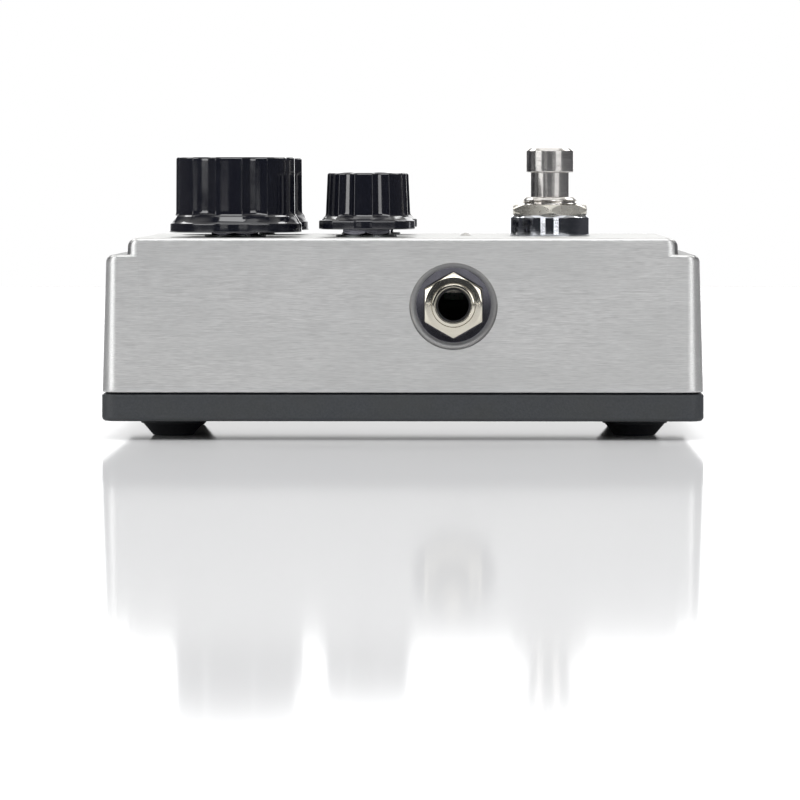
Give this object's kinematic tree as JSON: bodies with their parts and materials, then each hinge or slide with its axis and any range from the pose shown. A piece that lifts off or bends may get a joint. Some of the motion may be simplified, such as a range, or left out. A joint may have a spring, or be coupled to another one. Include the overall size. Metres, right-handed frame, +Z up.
{
  "type": "guitar effects pedal",
  "caption": "Guitar effects pedal: drafted metal box on a base tray with rubber feet, fluted control knobs, a lamp, a latching footswitch and quarter-inch jacks.",
  "frame": {"origin": "middle of the footprint, on the surface the feet stand on", "axes": "+X to the footswitch end, +Y to the input jack's side, +Z up through the top"},
  "size_m": [0.1264, 0.091, 0.0616],
  "materials": {
    "shell_metal": "brushed lengthways, satin",
    "base_paint": "fine-textured dark grey paint",
    "foot_rubber": "matt black rubber",
    "knob_plastic": "gloss black, fluted",
    "insert_brass": "turned",
    "screw_steel": "zinc plated",
    "shaft_metal": "turned",
    "plated_steel": "nickel plated",
    "switch_chrome": "mirror chrome",
    "jack_nickel": "bright nickel",
    "washer_dark": "dark satin",
    "black_plastic": "moulded",
    "switch_plastic": "moulded blue",
    "contact_brass": "rolled strip",
    "board_green": "solder mask",
    "lens_plastic": "diffused lens",
    "chip_plastic": "moulded epoxy",
    "capacitor_sleeve": "shrink sleeve",
    "film_capacitor": "dipped epoxy",
    "resistor_body": "lacquered",
    "cable_grey": "vinyl",
    "battery_can": "printed wrap",
    "foam_grey": "closed-cell foam",
    "lead_red": "vinyl"
  },
  "bodies": {
    "case": {"shell": "shell_metal", "base_plate": "base_paint", "base_screws": "screw_steel", "feet": "foot_rubber", "pot_big_near": "plated_steel", "pot_big_far": "plated_steel", "pot_small_near": "plated_steel", "pot_small_far": "plated_steel", "pot_nuts": "plated_steel", "pot_washers": "plated_steel", "pot_terminals": "plated_steel", "switch_spring": "plated_steel", "switch_bushing": "switch_chrome", "switch_nut": "switch_chrome", "switch_collar": "switch_chrome", "switch_lock_nut": "plated_steel", "switch_lock_washer": "plated_steel", "switch_frame": "plated_steel", "switch_case": "switch_plastic", "switch_lugs": "contact_brass", "switch_board": "board_green", "led_lens": "lens_plastic", "led_spacer": "black_plastic", "led_leads": "plated_steel", "output_jack_body": "black_plastic", "output_jack_bushing": "jack_nickel", "input_jack_body": "black_plastic", "input_jack_bushing": "jack_nickel", "jack_nuts": "jack_nickel", "jack_washers": "washer_dark", "jack_contacts": "contact_brass", "dc_jack_body": "black_plastic", "dc_jack_pin": "plated_steel", "main_board": "board_green", "chips": "chip_plastic", "electrolytics": "capacitor_sleeve", "film_caps": "film_capacitor", "resistors": "resistor_body", "ribbon_cable": "cable_grey", "battery": "battery_can", "battery_clip": "black_plastic", "battery_pad": "foam_grey", "battery_leads": "lead_red"},
    "big_knob_near": {"knob_big_near": "knob_plastic", "insert_big_near": "insert_brass", "set_screw_big_near": "screw_steel", "shaft_big_near": "shaft_metal"},
    "big_knob_far": {"knob_big_far": "knob_plastic", "insert_big_far": "insert_brass", "set_screw_big_far": "screw_steel", "shaft_big_far": "shaft_metal"},
    "small_knob_near": {"knob_small_near": "knob_plastic", "insert_small_near": "insert_brass", "set_screw_small_near": "screw_steel", "shaft_small_near": "shaft_metal"},
    "small_knob_far": {"knob_small_far": "knob_plastic", "insert_small_far": "insert_brass", "set_screw_small_far": "screw_steel", "shaft_small_far": "shaft_metal"},
    "plunger": {"switch_plunger": "switch_chrome"}
  },
  "joints": [
    {"name": "big_knob_near_turn", "type": "hinge", "parent": "case", "child": "big_knob_near", "pos_m": [-0.036, -0.0229, 0.0436], "axis": [0, 0, 1], "range_deg": [-133.6, 166.4]},
    {"name": "big_knob_far_turn", "type": "hinge", "parent": "case", "child": "big_knob_far", "pos_m": [-0.036, 0.0229, 0.0436], "axis": [0, 0, 1], "range_deg": [-133.6, 166.4]},
    {"name": "small_knob_near_turn", "type": "hinge", "parent": "case", "child": "small_knob_near", "pos_m": [-0.0079, -0.0229, 0.04425], "axis": [0, 0, 1], "range_deg": [-133.6, 166.4]},
    {"name": "small_knob_far_turn", "type": "hinge", "parent": "case", "child": "small_knob_far", "pos_m": [-0.0079, 0.0229, 0.04425], "axis": [0, 0, 1], "range_deg": [-133.6, 166.4]},
    {"name": "plunger_press", "type": "slide", "parent": "case", "child": "plunger", "axis": [0, 0, 1], "range_m": [-0.0025, 0], "stiffness_N_per_m": 2500, "springref_m": 0.002, "deforming": ["switch_spring"]}
  ]
}
